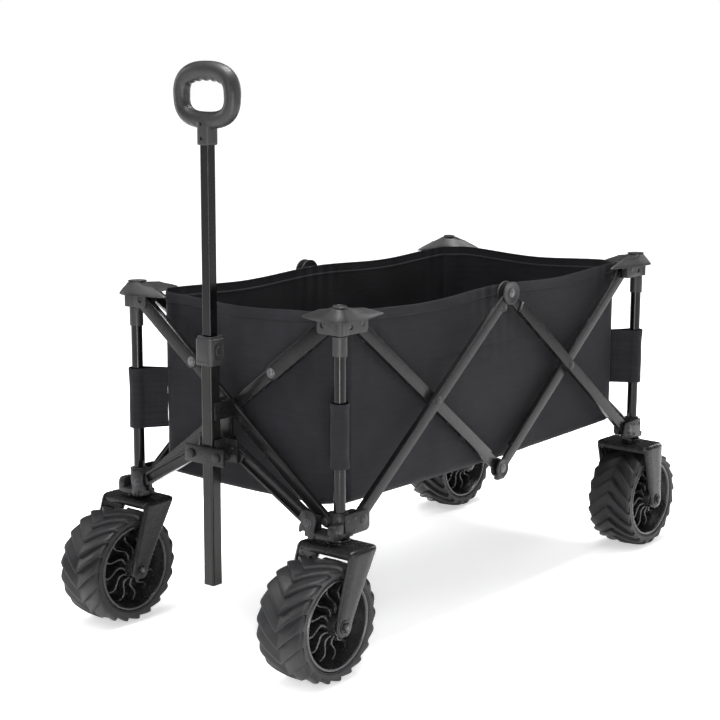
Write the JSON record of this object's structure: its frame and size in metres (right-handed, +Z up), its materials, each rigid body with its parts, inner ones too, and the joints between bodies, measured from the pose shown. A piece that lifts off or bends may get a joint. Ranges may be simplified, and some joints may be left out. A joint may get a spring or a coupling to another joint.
{
  "type": "folding camp wagon",
  "caption": "Folding cargo wagon: scissor-bar frame on posts with casters, open fabric bag, corner caps and a telescoping draw handle with a ring grip.",
  "frame": {"origin": "on the ground, under the centre of the wagon's box", "axes": "+Z up, +Y to the rear along the length, +X to the right across the width; the draw handle is at the -Y end"},
  "size_m": [0.566, 1.134, 0.933],
  "materials": {
    "frame_paint": "gloss black powder coat",
    "fork_paint": "satin black powder coat",
    "rod_steel": "gloss black enamel",
    "bracket_plastic": "moulded, satin",
    "cap_plastic": "moulded, fine texture",
    "collar_plastic": "moulded, satin",
    "grip_plastic": "moulded, satin",
    "tyre_rubber": "moulded rubber with chevron tread",
    "rim_plastic": "moulded, semi-gloss",
    "bag_fabric": "coated woven polyester, matte"
  },
  "bodies": {
    "frame_front_right": {"bracket_front_right": "bracket_plastic", "post_front_right": "frame_paint", "bush_front_right": "bracket_plastic"},
    "side_bar_1_right": {"side_bar_1_right": "frame_paint"},
    "side_bar_2_right": {"side_bar_2_right": "frame_paint"},
    "side_bar_3_right": {"side_bar_3_right": "frame_paint"},
    "side_bar_4_right": {"side_bar_4_right": "frame_paint"},
    "frame_rear_right": {"bracket_rear_right": "bracket_plastic", "post_rear_right": "frame_paint", "bush_rear_right": "bracket_plastic", "fork_rear_right": "fork_paint"},
    "cap_front_right": {"cap_front_right": "cap_plastic", "rod_front_right": "rod_steel", "bag_side_right": "bag_fabric", "bag_front": "bag_fabric"},
    "cap_rear_right": {"cap_rear_right": "cap_plastic", "rod_rear_right": "rod_steel", "bag_rear": "bag_fabric"},
    "end_bar_1_front": {"end_bar_1_front": "frame_paint"},
    "end_bar_2_front": {"end_bar_2_front": "frame_paint"},
    "frame_front_left": {"bracket_front_left": "bracket_plastic", "post_front_left": "frame_paint", "bush_front_left": "bracket_plastic"},
    "side_bar_1_left": {"side_bar_1_left": "frame_paint"},
    "side_bar_2_left": {"side_bar_2_left": "frame_paint"},
    "side_bar_3_left": {"side_bar_3_left": "frame_paint"},
    "side_bar_4_left": {"side_bar_4_left": "frame_paint"},
    "frame_rear_left": {"bracket_rear_left": "bracket_plastic", "post_rear_left": "frame_paint", "bush_rear_left": "bracket_plastic", "fork_rear_left": "fork_paint"},
    "cap_front_left": {"cap_front_left": "cap_plastic", "rod_front_left": "rod_steel", "bag_side_left": "bag_fabric"},
    "cap_rear_left": {"cap_rear_left": "cap_plastic", "rod_rear_left": "rod_steel"},
    "end_bar_1_rear": {"end_bar_1_rear": "frame_paint"},
    "end_bar_2_rear": {"end_bar_2_rear": "frame_paint"},
    "drawbar_mount": {"drawbar_mount": "frame_paint"},
    "drawbar_arm_right": {"drawbar_arm_right": "frame_paint"},
    "drawbar_arm_left": {"drawbar_arm_left": "frame_paint"},
    "handle_yoke": {"handle_yoke": "frame_paint"},
    "handle_outer": {"handle_outer_tube": "frame_paint", "handle_collar": "collar_plastic"},
    "handle_inner": {"handle_inner_tube": "frame_paint", "handle_grip": "grip_plastic"},
    "release_button": {"release_button": "collar_plastic"},
    "bag_floor_right": {"bag_floor_right": "bag_fabric"},
    "bag_floor_left": {"bag_floor_left": "bag_fabric"},
    "caster_front_right": {"fork_front_right": "fork_paint"},
    "wheel_front_right": {"tyre_front_right": "tyre_rubber", "rim_front_right": "rim_plastic"},
    "wheel_rear_right": {"tyre_rear_right": "tyre_rubber", "rim_rear_right": "rim_plastic"},
    "caster_front_left": {"fork_front_left": "fork_paint"},
    "wheel_front_left": {"tyre_front_left": "tyre_rubber", "rim_front_left": "rim_plastic"},
    "wheel_rear_left": {"tyre_rear_left": "tyre_rubber", "rim_rear_left": "rim_plastic"}
  },
  "joints": [
    {"name": "fold", "type": "hinge", "parent": "frame_front_right", "child": "side_bar_1_right", "pos_m": [0.221, -0.38, 0.236], "axis": [1, 0, 0], "range_deg": [0, 40], "deforming": ["bag_side_right", "bag_side_left", "bag_front", "bag_rear", "bag_floor_right", "bag_floor_left"]},
    {"name": "side_pivot_2_right", "type": "hinge", "parent": "side_bar_1_right", "child": "side_bar_2_right", "pos_m": [0.221, -0.179, 0.39], "axis": [1, 0, 0], "range_deg": [-81, 1]},
    {"name": "side_pivot_3_right", "type": "hinge", "parent": "side_bar_1_right", "child": "side_bar_3_right", "pos_m": [0.221, 0.022, 0.544], "axis": [1, 0, 0], "range_deg": [-81, 1]},
    {"name": "side_pivot_4_right", "type": "hinge", "parent": "side_bar_3_right", "child": "side_bar_4_right", "pos_m": [0.221, 0.223, 0.39], "axis": [1, 0, 0], "range_deg": [-1, 81]},
    {"name": "rear_frame_pivot_right", "type": "hinge", "parent": "side_bar_3_right", "child": "frame_rear_right", "pos_m": [0.221, 0.424, 0.236], "axis": [1, 0, 0], "range_deg": [-1, 41]},
    {"name": "cap_pivot_front_right", "type": "hinge", "parent": "side_bar_2_right", "child": "cap_front_right", "pos_m": [0.221, -0.38, 0.544], "axis": [1, 0, 0], "range_deg": [-1, 41]},
    {"name": "cap_pivot_rear_right", "type": "hinge", "parent": "side_bar_4_right", "child": "cap_rear_right", "pos_m": [0.221, 0.424, 0.544], "axis": [1, 0, 0], "range_deg": [-41, 1]},
    {"name": "end_pivot_1_front", "type": "hinge", "parent": "frame_front_right", "child": "end_bar_1_front", "pos_m": [0.201, -0.418, 0.236], "axis": [0, 1, 0], "range_deg": [-1, 41]},
    {"name": "end_pivot_2_front", "type": "hinge", "parent": "end_bar_1_front", "child": "end_bar_2_front", "pos_m": [0, -0.418, 0.39], "axis": [0, 1, 0], "range_deg": [-81, 1]},
    {"name": "front_frame_pivot_left", "type": "hinge", "parent": "end_bar_2_front", "child": "frame_front_left", "pos_m": [-0.201, -0.418, 0.236], "axis": [0, 1, 0], "range_deg": [-1, 41]},
    {"name": "side_pivot_1_left", "type": "hinge", "parent": "frame_front_left", "child": "side_bar_1_left", "pos_m": [-0.221, -0.38, 0.236], "axis": [1, 0, 0], "range_deg": [-1, 41]},
    {"name": "side_pivot_2_left", "type": "hinge", "parent": "side_bar_1_left", "child": "side_bar_2_left", "pos_m": [-0.221, -0.179, 0.39], "axis": [1, 0, 0], "range_deg": [-81, 1]},
    {"name": "side_pivot_3_left", "type": "hinge", "parent": "side_bar_1_left", "child": "side_bar_3_left", "pos_m": [-0.221, 0.022, 0.544], "axis": [1, 0, 0], "range_deg": [-81, 1]},
    {"name": "side_pivot_4_left", "type": "hinge", "parent": "side_bar_3_left", "child": "side_bar_4_left", "pos_m": [-0.221, 0.223, 0.39], "axis": [1, 0, 0], "range_deg": [-1, 81]},
    {"name": "rear_frame_pivot_left", "type": "hinge", "parent": "side_bar_3_left", "child": "frame_rear_left", "pos_m": [-0.221, 0.424, 0.236], "axis": [1, 0, 0], "range_deg": [-1, 41]},
    {"name": "cap_pivot_front_left", "type": "hinge", "parent": "side_bar_2_left", "child": "cap_front_left", "pos_m": [-0.221, -0.38, 0.544], "axis": [1, 0, 0], "range_deg": [-1, 41]},
    {"name": "cap_pivot_rear_left", "type": "hinge", "parent": "side_bar_4_left", "child": "cap_rear_left", "pos_m": [-0.221, 0.424, 0.544], "axis": [1, 0, 0], "range_deg": [-41, 1]},
    {"name": "end_pivot_1_rear", "type": "hinge", "parent": "frame_rear_right", "child": "end_bar_1_rear", "pos_m": [0.201, 0.462, 0.236], "axis": [0, 1, 0], "range_deg": [-1, 41]},
    {"name": "end_pivot_2_rear", "type": "hinge", "parent": "end_bar_1_rear", "child": "end_bar_2_rear", "pos_m": [0, 0.462, 0.39], "axis": [0, 1, 0], "range_deg": [-81, 1]},
    {"name": "mount_pivot", "type": "hinge", "parent": "end_bar_1_front", "child": "drawbar_mount", "pos_m": [0, -0.418, 0.39], "axis": [0, 1, 0], "range_deg": [-41, 1]},
    {"name": "arm_pivot_right", "type": "hinge", "parent": "frame_front_right", "child": "drawbar_arm_right", "pos_m": [0.188, -0.418, 0.236], "axis": [0, 1, 0], "range_deg": [-1, 57.96]},
    {"name": "arm_pivot_left", "type": "hinge", "parent": "frame_front_left", "child": "drawbar_arm_left", "pos_m": [-0.188, -0.418, 0.236], "axis": [0, 1, 0], "range_deg": [-57.96, 1]},
    {"name": "handle_tilt", "type": "hinge", "parent": "drawbar_mount", "child": "handle_yoke", "pos_m": [0, -0.47, 0.32], "axis": [1, 0, 0], "range_deg": [0, 30]},
    {"name": "handle_lift", "type": "slide", "parent": "handle_yoke", "child": "handle_outer", "axis": [0, 0, 1], "range_m": [0, 0.19]},
    {"name": "handle_extend", "type": "slide", "parent": "handle_outer", "child": "handle_inner", "axis": [0, 0, 1], "range_m": [-0.29, 0]},
    {"name": "release_press", "type": "slide", "parent": "handle_outer", "child": "release_button", "axis": [-1, 0, 0], "range_m": [0, 0.0025], "stiffness_N_per_m": 400},
    {"name": "floor_pivot_right", "type": "hinge", "parent": "cap_front_right", "child": "bag_floor_right", "pos_m": [0.1967, 0, 0.252], "axis": [0, 1, 0], "range_deg": [-1, 76.08]},
    {"name": "floor_pivot_left", "type": "hinge", "parent": "cap_front_left", "child": "bag_floor_left", "pos_m": [-0.1967, 0, 0.252], "axis": [0, 1, 0], "range_deg": [-76.08, 1]},
    {"name": "swivel_front_right", "type": "hinge", "parent": "frame_front_right", "child": "caster_front_right", "pos_m": [0.221, -0.418, 0.206], "axis": [0, 0, 1], "continuous": true},
    {"name": "roll_front_right", "type": "hinge", "parent": "caster_front_right", "child": "wheel_front_right", "pos_m": [0.221, -0.472, 0.095], "axis": [1, 0, 0], "continuous": true},
    {"name": "roll_rear_right", "type": "hinge", "parent": "frame_rear_right", "child": "wheel_rear_right", "pos_m": [0.221, 0.472, 0.095], "axis": [1, 0, 0], "continuous": true},
    {"name": "swivel_front_left", "type": "hinge", "parent": "frame_front_left", "child": "caster_front_left", "pos_m": [-0.221, -0.418, 0.206], "axis": [0, 0, 1], "continuous": true},
    {"name": "roll_front_left", "type": "hinge", "parent": "caster_front_left", "child": "wheel_front_left", "pos_m": [-0.221, -0.472, 0.095], "axis": [1, 0, 0], "continuous": true},
    {"name": "roll_rear_left", "type": "hinge", "parent": "frame_rear_left", "child": "wheel_rear_left", "pos_m": [-0.221, 0.472, 0.095], "axis": [1, 0, 0], "continuous": true}
  ],
  "couplings": [
    {"joint": "side_pivot_2_right", "follows": "fold", "ratio": -2},
    {"joint": "side_pivot_3_right", "follows": "fold", "ratio": -2},
    {"joint": "side_pivot_4_right", "follows": "fold", "ratio": 2},
    {"joint": "rear_frame_pivot_right", "follows": "fold", "ratio": 1},
    {"joint": "cap_pivot_front_right", "follows": "fold", "ratio": 1},
    {"joint": "cap_pivot_rear_right", "follows": "fold", "ratio": -1},
    {"joint": "end_pivot_1_front", "follows": "fold", "ratio": 1},
    {"joint": "end_pivot_2_front", "follows": "fold", "ratio": -2},
    {"joint": "front_frame_pivot_left", "follows": "fold", "ratio": 1},
    {"joint": "side_pivot_1_left", "follows": "fold", "ratio": 1},
    {"joint": "side_pivot_2_left", "follows": "fold", "ratio": -2},
    {"joint": "side_pivot_3_left", "follows": "fold", "ratio": -2},
    {"joint": "side_pivot_4_left", "follows": "fold", "ratio": 2},
    {"joint": "rear_frame_pivot_left", "follows": "fold", "ratio": 1},
    {"joint": "cap_pivot_front_left", "follows": "fold", "ratio": 1},
    {"joint": "cap_pivot_rear_left", "follows": "fold", "ratio": -1},
    {"joint": "end_pivot_1_rear", "follows": "fold", "ratio": 1},
    {"joint": "end_pivot_2_rear", "follows": "fold", "ratio": -2},
    {"joint": "mount_pivot", "follows": "fold", "ratio": -1},
    {"joint": "arm_pivot_right", "follows": "fold", "ratio": 1.424},
    {"joint": "arm_pivot_left", "follows": "fold", "ratio": -1.424},
    {"joint": "floor_pivot_right", "follows": "fold", "ratio": 1.877},
    {"joint": "floor_pivot_left", "follows": "fold", "ratio": -1.877}
  ]
}
